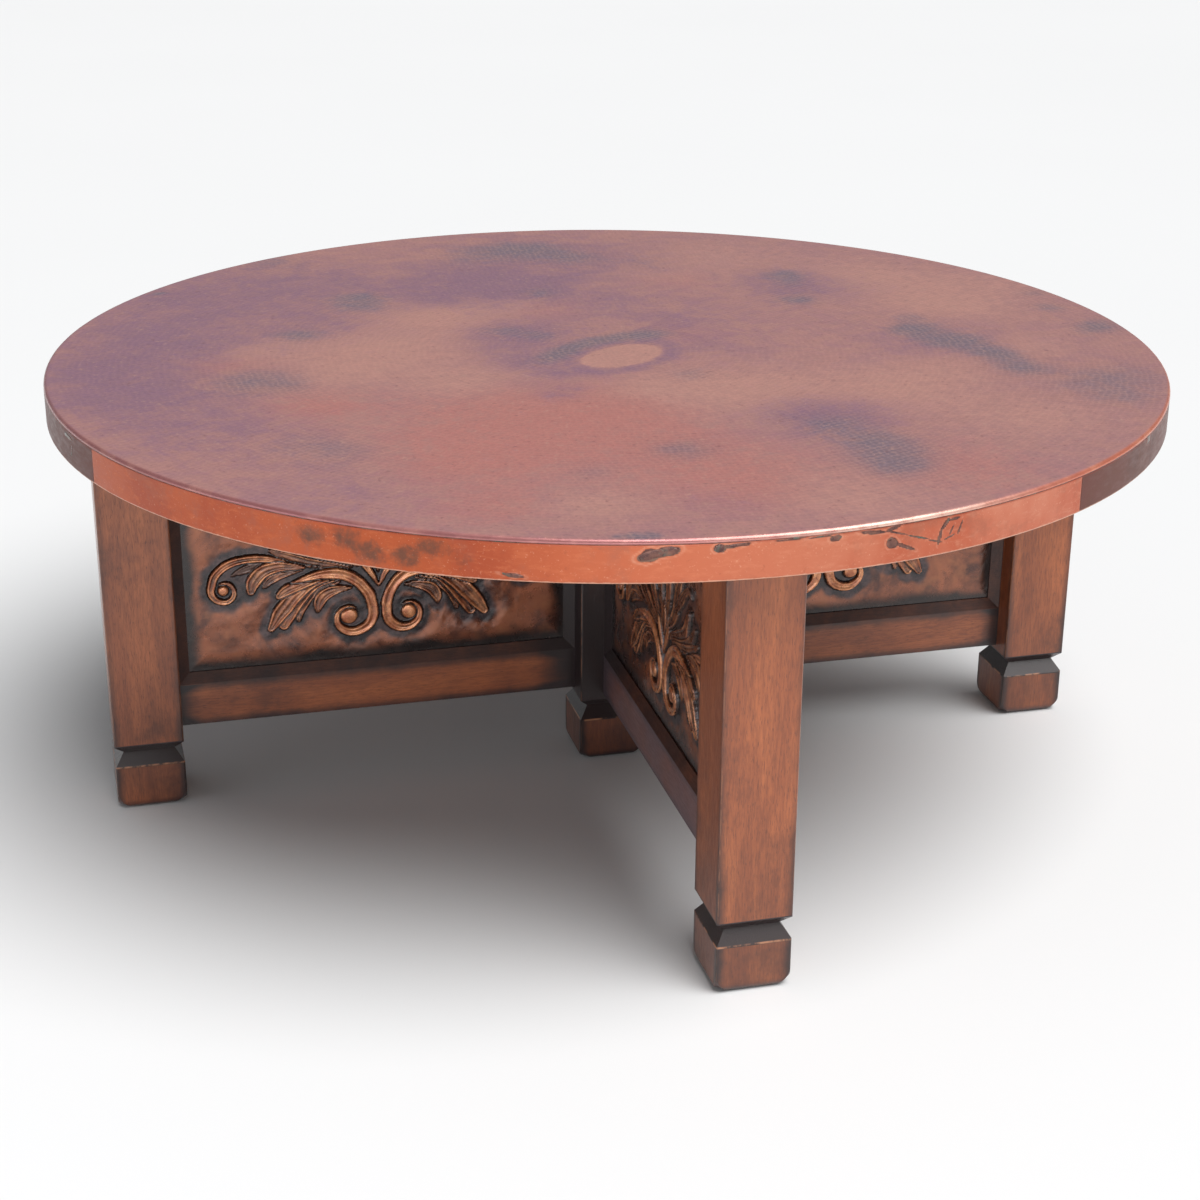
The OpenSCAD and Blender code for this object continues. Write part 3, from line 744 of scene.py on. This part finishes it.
def draw_ornament(r):
    """The right half of the ornament, from the back layer to the front one."""
    # plumes that rise from the middle
    r.leaf((3, 118, 4), (14, 150, 7), (18, 184, 7), (33, 214, 3.5), top=3.6)
    r.leaf((12, 116, 4), (38, 142, 8), (50, 172, 8.5), (66, 204, 4), top=3.9)
    r.leaf((44, 150, 4), (64, 170, 6), (82, 186, 4), (90, 180, 2.5), top=3.6)
    r.leaf((22, 112, 4), (52, 124, 7), (74, 136, 7.5), (84, 160, 3.5), top=4.0)
    r.leaf((30, 110, 3), (64, 118, 6), (90, 132, 6), (106, 150, 3), top=3.8)
    r.leaf((34, 108, 3), (66, 115, 5.5), (94, 125, 6), (117, 137, 2.5), top=4.0)
    # the outer scroll, and the small leaf that lies in its bend
    r.leaf((112, 124, 2.5), (131, 121, 5), (147, 117, 4.5), (160, 112, 1.6), top=3.0)
    stem = through((66, 112, 0.8), (88, 117, 1.6), (106, 123.5, 2.8), (122, 128, 4), (138, 129.5, 4.5),
                   (155, 128, 4.6), (170, 121.5, 4.9), (180, 110.5, 5), (184.5, 98, 4.7))
    curl = spiral((170.6, 93.6), (14.6, 14.0, 13.4, 12.2, 10.8, 9.4, 8),
                  (4.6, 3.9, 3.3, 2.9, 2.6, 2.2, 1.8), 10, -300)
    r.stroke(np.concatenate([stem, curl]), 4.5, "hollow")
    r.ball(171.4, 94.4, 6.3, 4.7)
    # the small leaf under its stem
    r.leaf((84, 112, 2), (104, 109, 5), (118, 103, 5.2), (125.5, 96, 3), top=4.0)
    r.leaf((82, 113.5, 2), (104, 117.5, 5.5), (125, 114.5, 8), (137, 103, 8), (141, 91.5, 4.8), top=4.4)
    # the big leaf: its four lobes, then the hook
    r.leaf((46, 94, 4), (64, 89.5, 6), (79, 77, 6.2), (87, 62, 5), (89, 50.5, 2.6), top=4.2)
    r.leaf((52, 97, 5), (72, 92, 7), (88, 77, 9), (100, 59, 9), (106, 46.5, 6), top=4.4)
    r.leaf((56, 99, 5), (76, 95, 8), (94, 80, 9.5), (110, 60, 9), (121, 44, 4.5), top=4.7)
    r.leaf((66, 99, 5), (86, 95, 7), (102, 88.5, 6.6), (110.5, 82.5, 4), top=4.5)
    r.leaf((31, 84, 1.6), (47, 83, 5.4), (60.5, 78, 7.4), (67, 68.5, 6), (68, 58.5, 1.8), top=4.3)
    # the stem, which runs on into the inner scroll
    stem = through((97, 97.5, 0.8), (82, 100.5, 3.6), (65, 103, 5.8), (48, 102.5, 6.8), (33, 98, 6.7),
                   (20.5, 88, 6.5), (12, 75, 6.3), (8, 62, 6.2))
    curl = spiral((33.3, 50.5), (26.2, 24, 20.4, 17, 14.8, 13.4, 12, 10.4, 9),
                  (6.2, 6, 5.6, 4.8, 3.8, 3.2, 2.9, 2.7, 2.4), 166, 490)
    r.stroke(np.concatenate([stem, curl]), 4.8)
    r.ball(33.6, 51, 9.2, 4.9)
    # the bud, and the V that holds it
    r.leaf((12, 116, 1.6), (10, 130, 3.2), (13, 144, 3.4), (19, 148, 1.6), top=4.0)
    r.leaf((0, 99, 0.8), (0, 112, 5), (0, 128, 7.5), (0, 150, 0.6), top=3.9)
    r.stroke(through((0.2, 84, 1.2), (6.5, 96, 3), (14, 109, 4), (20, 121, 2)), 4.4)


def panel_surface(seed):
    """The sheet's points with their heights and tones. Lengths in mm, u and v as in Relief."""
    wide, tall = (SHEET_HIGH.x - SHEET_LOW.x) / MM, (SHEET_HIGH.z - SHEET_LOW.z) / MM
    nu, nv = round(wide * MM / PANEL_STEP), round(tall * MM / PANEL_STEP)
    u, v = np.meshgrid(np.linspace(-wide / 2, wide / 2, nu + 1), np.linspace(0, tall, nv + 1) - HIDDEN)
    warp_u = u + 1.8 * value_noise(u, v, 50, seed) + 0.5 * value_noise(u, v, 11, seed + 1)
    warp_v = v + 1.8 * value_noise(u, v, 50, seed + 2) + 0.5 * value_noise(u, v, 11, seed + 3)
    relief = Relief(np.abs(warp_u), warp_v)
    draw_ornament(relief)
    height, line, near = (a.reshape(u.shape) for a in (relief.height, relief.line, relief.near))
    inside = near < 0
    border = np.minimum(wide / 2 - np.abs(u), np.minimum(v + HIDDEN, tall - HIDDEN - v)) - HIDDEN
    reach = near + 5 * cloud(u, v, 30, seed + 4)
    halo = 1 - smooth(2, 17, reach + 2.5 * value_noise(u, v, 9, seed + 5))
    sunk = 1 - smooth(3, 24, reach)
    ground = GROUND_H / MM * smooth(-1, 22, border) * (1 - 0.92 * sunk)
    ground = ground + 0.45 * cloud(u, v, 38, seed + 6) * smooth(0, 12, border)
    ground = ground + (0.12 + 0.4 * sunk) * cloud(u, v, 12, seed + 7, 2)
    ground = ground + 0.05 * value_noise(u, v, 4, seed + 8)
    ground = np.clip(ground, 0.02, 4) * smooth(0, 1.8, near)
    worked = 0.2 * cloud(u, v, 8, seed + 9, 2)
    height = np.where(inside, np.maximum(height + worked * smooth(0, 2, -near), 0.1), ground)
    # edge: how much the ground darkens towards the beads, as painted shade
    edge = 1 - smooth(0, 26, border + 6 * cloud(u, v, 40, seed + 10))
    return u, v, np.clip(height, 0.0, RELIEF_H / MM), inside, halo, line, edge


def panel_mesh(name, seed, side, face, material):
    """A closed sheet with the relief on its front, turned into its place on its wing."""
    u, v, height, inside, halo, line, edge = panel_surface(seed)
    rows, columns = u.shape
    middle_x = (SHEET_LOW.x + SHEET_HIGH.x) / 2
    front = -(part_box("backing_board_right")[1].y + COPPER_T)
    back = front + COPPER_T
    x, z = middle_x + u * MM, SHEET_LOW.z + (v + HIDDEN) * MM
    surface = np.stack([x.ravel(), (front - height * MM).ravel(), z.ravel()], 1)
    corners = [(x[i, j], back, z[i, j]) for i, j in ((0, 0), (0, -1), (-1, -1), (-1, 0))]
    points = np.concatenate([surface, corners])
    number = np.arange(rows * columns).reshape(rows, columns)
    a, b = number[:-1, :-1].ravel(), number[:-1, 1:].ravel()
    c, d = number[1:, 1:].ravel(), number[1:, :-1].ravel()
    faces = list(zip(a.tolist(), b.tolist(), c.tolist(), d.tolist()))
    p, q, r, s = (rows * columns + k for k in range(4))
    faces.append(tuple(number[0, ::-1].tolist()) + (p, q))
    faces.append(tuple(number[::-1, -1].tolist()) + (q, r))
    faces.append(tuple(number[-1, :].tolist()) + (r, s))
    faces.append(tuple(number[:, 0].tolist()) + (s, p))
    faces.append((s, r, q, p))
    if face == "b":
        points[:, 1] *= -1
        faces = [tuple(reversed(f)) for f in faces]
    turn = Matrix.Rotation(math.radians(90 * SIDES.index(side)), 3, "Z")
    points = points @ np.array(turn).T
    piece = make_piece(name, points, faces, material,
                       "copper_panel_%s_%s" % (side, face))
    for key, values in (("relief", height * inside / (RELIEF_H / MM)), ("halo", halo), ("line", line),
                        ("border", edge)):
        set_attribute(piece, key, np.concatenate([values.ravel(), np.zeros(4)]))
    return piece


def embossed_copper():
    """Dark copper whose raised parts are rubbed bright and carry a painted highlight, with a blackened
    ground round them and painted shade towards the beads.
    """
    g = Graph("embossed_copper")
    relief, halo, line, border = (g.attribute(n) for n in ("relief", "halo", "line", "border"))
    broad = g.noise(16, 4, 0.6, distortion=0.5)
    patch = g.noise(55, 5, 0.65)
    grit = g.noise(400, 3, 0.6)
    ground = g.mix(g.step(0.36, 0.6, broad), rgb(82, 44, 34), rgb(162, 94, 62))
    ground = g.mix(g.times(g.step(0.5, 0.7, patch), 0.4), ground, rgb(180, 114, 74))
    ground = g.mix(g.times(g.step(0.54, 0.7, g.noise(30, 3, 0.6)), 0.6), ground, rgb(60, 38, 34))
    # painted shade on the ground towards the beads
    ground = g.mix(g.step(0.2, 1.0, g.plus(border, g.sway(broad, 1.2))), ground, rgb(34, 22, 20))
    dark = g.mix(g.step(0.42, 0.68, patch), rgb(34, 26, 30), rgb(88, 66, 66))
    colour = g.mix(g.step(0.1, 0.85, g.plus(halo, g.sway(patch, 0.8))), ground, dark)
    raised = g.step(0.42, 0.86, g.plus(relief, g.sway(patch, 0.7)))
    # the raised parts: rubbed bright, and lighter still as a painted highlight
    bright = g.mix(g.step(0.35, 0.68, g.noise(90, 4, 0.65)), rgb(176, 98, 60), rgb(240, 164, 112))
    colour = g.mix(g.step(0.0, 0.08, relief), colour, rgb(78, 44, 30))
    colour = g.mix(raised, colour, bright)
    colour = g.mix(g.times(line, 0.95), colour, rgb(12, 9, 10))
    g.set(Base_Color=colour, Metallic=0.5, Roughness=g.step(0.3, 0.7, patch, 0.22, 0.36),
          Normal=g.bump(g.plus(g.times(patch, 0.4), g.times(grit, 0.4)), 0.25 * MM))
    g.set(Coat_Weight=0.8, Coat_Roughness=0.12)
    return g.material


# ---------- wood ----------

GRAIN_SCALE = {"x": (0.12, 1, 1), "y": (1, 0.12, 1), "z": (1, 1, 0.12)}
GROOVE_MIDDLE = 63.5 * MM  # height of the V groove round the posts
GROOVE_HALF = 13 * MM
FOOT_RIM = 51 * MM  # height of the block foot's upper edge


def stained_wood(name, grain, glaze_and_shade, wear=None, painted_sheen=0.0, coat=0.4):
    """Walnut-stained wood. glaze_and_shade(g) gives the share of dark stain and painted shade, and
    wear(g) that of rubbed edges.

    painted_sheen is the share of a grey-violet painted sheen mixed into the colour, and coat is how much
    lacquer there is.
    """
    g = Graph(name)
    along = g.scaled(GRAIN_SCALE[grain])
    figure = g.noise(40, 4, 0.6, along, 0.6)
    fibre = g.noise(520, 3, 0.6, along)
    pores = g.noise(1100, 2, 0.5, along)
    cloudy = g.noise(14, 5, 0.65)
    light, mid, deep = rgb(188, 106, 60), rgb(150, 80, 46), rgb(88, 46, 32)
    colour = g.mix(g.times(g.step(0.35, 0.65, figure), 0.7), mid, light)
    colour = g.mix(g.times(g.step(0.46, 0.7, cloudy), 0.8), colour, mid)
    colour = g.mix(g.times(g.step(0.56, 0.76, cloudy), 0.35), colour, deep)
    colour = g.mix(g.times(g.step(0.4, 0.62, fibre), 0.3), colour, deep)
    colour = g.mix(g.times(g.step(0.58, 0.68, pores), 0.45), colour, rgb(70, 40, 30))
    shade = g.plus(glaze_and_shade(g), g.sway(cloudy, 0.6))
    colour = g.mix(g.step(0.1, 0.95, shade), colour, rgb(40, 26, 26))
    if wear:
        rubbed = g.times(wear(g), g.step(0.42, 0.6, g.noise(48, 4, 0.65)))
        colour = g.mix(g.times(rubbed, 0.75), colour, rgb(206, 140, 100))
    # a grey-violet painted sheen, mixed into the colour of the wood
    if painted_sheen:
        sheen_share = g.step(0.34, 0.6, g.noise(9, 4, 0.6), 0.6 * painted_sheen, painted_sheen)
        colour = g.mix(sheen_share, colour, rgb(112, 96, 104))
    height = g.math("SUBTRACT", g.times(fibre, 0.5), g.step(0.58, 0.68, pores))
    rough = 0.44 - 0.3 * coat
    g.set(Base_Color=colour, Roughness=g.step(0.3, 0.7, fibre, rough, rough + 0.1),
          Normal=g.bump(height, 0.1 * MM))
    g.set(Coat_Weight=coat, Coat_Roughness=0.2)
    return g.material


def post_inward(g):
    """How far the nearer pair of upright faces is from the middle of whichever post this is."""
    x, y, z = g.xyz()
    half_pitch = LEG_REACH / 2
    across = [g.math("ABSOLUTE", g.math("WRAP", c, half_pitch, -half_pitch)) for c in (x, y)]
    return g.math("MINIMUM", *across)


def post_glaze_and_shade(g):
    """Darker towards the upright edges, in the V groove, at the base and on the centre post. The dark at
    the base, low on the posts and on the centre post is partly painted shade.
    """
    x, y, z = g.xyz()
    edge = g.step(0.7 * LEG_HALF, 1.04 * LEG_HALF, post_inward(g), 0.0, 0.4)
    groove = g.step(GROOVE_HALF, GROOVE_HALF + MM, g.off(z, GROOVE_MIDDLE), 0.62, 0.0)
    # darker low on the posts, partly as painted shade
    above = g.step(74 * MM, 260 * MM, z, 0.42, 0.12)
    # darker at the foot, most near the floor, partly as painted shade
    base = g.plus(g.step(0.0, 12 * MM, z, 0.3, 0.0), g.step(FOOT_RIM, FOOT_RIM + MM, z, 0.1, 0.0))
    # the centre post is darker, partly as painted shade
    middle = g.times(g.step(0.1, 0.2, g.arm(), 0.75, 0.0), g.step(60 * MM, 90 * MM, z, 0.1, 1.0))
    return g.plus(g.plus(edge, groove), g.plus(middle, g.plus(base, above)))


def post_wear(g):
    """The arrises and the foot's upper edge, where the stain is rubbed off."""
    x, y, z = g.xyz()
    arris = g.step(LEG_HALF - 1.6 * MM, LEG_HALF - 0.6 * MM, post_inward(g), 0.0, 0.45)
    rim = g.step(0.5 * MM, 1.3 * MM, g.off(z, FOOT_RIM), 0.8, 0.0)
    return g.math("MAXIMUM", g.times(arris, g.step(70 * MM, 90 * MM, z, 0.3, 1.0)), rim)


def rail_glaze_and_shade(g):
    """Darker along the rails' edges and where they meet the posts, partly as painted shade."""
    x, y, z = g.xyz()
    reach = g.arm()
    # the rails darken towards the posts, most at the centre post, partly as painted shade
    inner = g.step(LEG_HALF, LEG_HALF + 60 * MM, reach, 0.9, 0.25)
    outer = g.step(LEG_REACH - LEG_HALF - 30 * MM, LEG_REACH - LEG_HALF, reach, 0.0, 0.6)
    low = g.step(RAIL_Z, RAIL_Z + 12 * MM, z, 0.5, 0.0)
    high = g.step(RAIL_TOP - 12 * MM, RAIL_TOP, z, 0.0, 0.45)
    return g.plus(g.plus(inner, outer), g.plus(low, high))


def bead_glaze_and_shade(g):
    """Dark all along, and darkest at the centre post, partly as painted shade."""
    return g.step(LEG_HALF, LEG_HALF + 80 * MM, g.arm(), 1.0, 0.75)


def plain_wood(name, light, dark, layers=False):
    """Plain board, or plywood with its layers showing on its edge."""
    g = Graph(name)
    along = g.scaled((0.06, 1, 1))
    figure = g.noise(38, 4, 0.6, along, 0.8)
    fibre = g.noise(380, 3, 0.6, along)
    colour = g.mix(g.step(0.3, 0.7, figure), dark, light)
    colour = g.mix(g.times(g.step(0.45, 0.7, fibre), 0.35), colour, dark)
    if layers:
        x, y, z = g.xyz()
        ply = g.math("PINGPONG", z, 1.5 * MM)
        colour = g.mix(g.times(g.step(0.4 * MM, 1.1 * MM, ply), 0.35), colour, dark)
    g.set(Base_Color=colour, Roughness=g.step(0.3, 0.7, fibre, 0.55, 0.7),
          Normal=g.bump(fibre, 0.15 * MM))
    return g.material


def fastener_metal(name, scale, dark, light, smoothest):
    """Slightly uneven metal for small fasteners."""
    g = Graph(name)
    patch = g.noise(scale, 3, 0.6)
    g.set(Base_Color=g.mix(patch, dark, light), Metallic=1.0,
          Roughness=g.step(0.3, 0.7, patch, smoothest, smoothest + 0.2), Normal=g.bump(patch, 0.05 * MM))
    return g.material


def dress(name, material, bevel=0.0):
    """Gives a CAD node its material and, if asked, softens its sharp edges."""
    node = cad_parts[name]
    node.data.materials.clear()
    node.data.materials.append(material)
    if bevel:
        modifier = node.modifiers.new("soft_edges", "BEVEL")
        modifier.width = bevel
        modifier.segments = 3
        modifier.limit_method = "ANGLE"
        modifier.angle_limit = math.radians(32)
        modifier.harden_normals = True


# ---------- the studio ----------

VIEW_AZIMUTH = -14.7
VIEW_ELEVATION = 21.8
VIEW_ROLL = 0.4
VIEW_DISTANCE = 2.6166
VIEW_TARGET = Vector((-0.0059, 0.0, 0.1844))
LENS = 67.8
FLOOR_HALF = 30.0
LIGHTS_AIM = (0, 0, 0.25)


def camera():
    """Looks at the table from VIEW_AZIMUTH, which is 0 in front of the -Y leg, and VIEW_ELEVATION."""
    a, e, roll = (math.radians(d) for d in (VIEW_AZIMUTH, VIEW_ELEVATION, VIEW_ROLL))
    back = Vector((math.sin(a) * math.cos(e), -math.cos(a) * math.cos(e), math.sin(e)))
    right = (-back).cross(Vector((0, 0, 1))).normalized()
    up = back.cross(right)
    across = right * math.cos(roll) + up * math.sin(roll)
    upward = back.cross(across)
    data = bpy.data.cameras.new("camera")
    data.sensor_width = 36
    data.lens = LENS
    data.clip_end = 100
    cam = place_object("camera", data)
    axes = Matrix((across, upward, back)).transposed()
    cam.matrix_world = Matrix.Translation(VIEW_TARGET + back * VIEW_DISTANCE) @ axes.to_4x4()
    bpy.context.scene.camera = cam


def soft_light(name, place, size, power, colour=(1, 1, 1)):
    """A rectangular light that points at the table. Lengths in metres, power in watts."""
    data = bpy.data.lights.new(name, "AREA")
    data.shape = "RECTANGLE"
    data.size, data.size_y = size
    data.energy = power
    data.color = colour
    lamp = place_object(name, data)
    lamp.location = place
    lamp.rotation_euler = (Vector(LIGHTS_AIM) - Vector(place)).to_track_quat("-Z", "Y").to_euler()


def floor():
    """A wide pale floor."""
    corners = [(x * FLOOR_HALF, y * FLOOR_HALF, 0) for x, y in ((-1, -1), (1, -1), (1, 1), (-1, 1))]
    mesh = bpy.data.meshes.new("floor")
    mesh.from_pydata(corners, [], [(0, 1, 2, 3)])
    g = Graph("pale_floor")
    pale, paler = ((grey, grey, grey, 1) for grey in (0.81, 0.83))
    g.set(Base_Color=g.mix(g.noise(0.8, 2, 0.5), pale, paler), Roughness=0.75)
    mesh.materials.append(g.material)
    place_object("floor", mesh)


def studio():
    """Even surroundings, a broad light from above, a low fill in front and a cool one at the left."""
    scene = bpy.context.scene
    scene.view_settings.view_transform = "Standard"
    world = bpy.data.worlds.new("studio")
    scene.world = world
    world.use_nodes = True
    background = world.node_tree.nodes["Background"].inputs
    background["Color"].default_value = (0.94, 0.97, 1.0, 1)
    background["Strength"].default_value = 0.2
    sun = bpy.data.lights.new("key", "SUN")
    sun.energy = 3.5
    sun.angle = math.radians(50)
    lamp = place_object("key", sun)
    lamp.rotation_euler = Vector((0.32, -0.4, 1.0)).to_track_quat("Z", "Y").to_euler()
    soft_light("fill", (-0.6, -3.6, 0.55), (2.6, 0.9), 23)
    soft_light("cool_side", (-3.4, -0.9, 0.5), (2.4, 0.8), 12, (0.8, 0.88, 1.0))


# ---------- the table ----------

camera()
studio()
floor()

hammered_top(patinated_copper())
front_band = edge_copper("edge_copper_front", 0.0)
other_band = edge_copper("edge_copper_dull", 0.8)
for side, (start, end) in band_joints().items():
    edge_band(side, start, end, front_band if side == "front" else other_band)
braze_marks(dark_braze())

panel_copper = embossed_copper()
for side in SIDES:
    for face in FACES:
        seed = 100 + 20 * SIDES.index(side) + 10 * FACES.index(face)
        panel_mesh("embossed_panel_%s_%s" % (side, face), seed, side, face, panel_copper)

post_wood = stained_wood("post_wood", "z", post_glaze_and_shade, post_wear)
# the rails that run along y carry a grey-violet painted sheen
rail_wood = {axis: stained_wood("rail_wood_" + axis, axis, rail_glaze_and_shade, painted_sheen=painted_sheen)
             for axis, painted_sheen in (("x", 0.0), ("y", 0.7))}
bead_wood = {axis: stained_wood("bead_wood_" + axis, axis, bead_glaze_and_shade, coat=0.1) for axis in "xy"}
plywood = plain_wood("stained_plywood", rgb(104, 70, 46), rgb(64, 42, 28), layers=True)
cleat_wood = plain_wood("cleat_wood", rgb(112, 74, 48), rgb(78, 50, 32))
steel = fastener_metal("zinc_steel", 300, rgb(120, 120, 118), rgb(176, 174, 168), 0.25)
tack_copper = fastener_metal("tack_copper", 250, rgb(90, 52, 36), rgb(150, 92, 60), 0.3)

dress("centre_post", post_wood, 1.2 * MM)
for name in ("top_core_upper", "top_core_lower"):
    dress(name, plywood)
for name in ("band_nails", "cleat_top_screws", "cleat_side_screws"):
    dress(name, steel)
dress("panel_tacks", tack_copper)
for side in SIDES:
    axis = "x" if side in ("right", "left") else "y"
    dress("leg_" + side, post_wood, 1.2 * MM)
    dress("lower_rail_" + side, rail_wood[axis], 1.0 * MM)
    dress("upper_rail_" + side, rail_wood[axis], 1.0 * MM)
    dress("backing_board_" + side, plywood)
    for face in FACES:
        dress("panel_bead_%s_%s" % (side, face), bead_wood[axis], 0.6 * MM)
        dress("top_cleat_%s_%s" % (side, face), cleat_wood, 0.8 * MM)
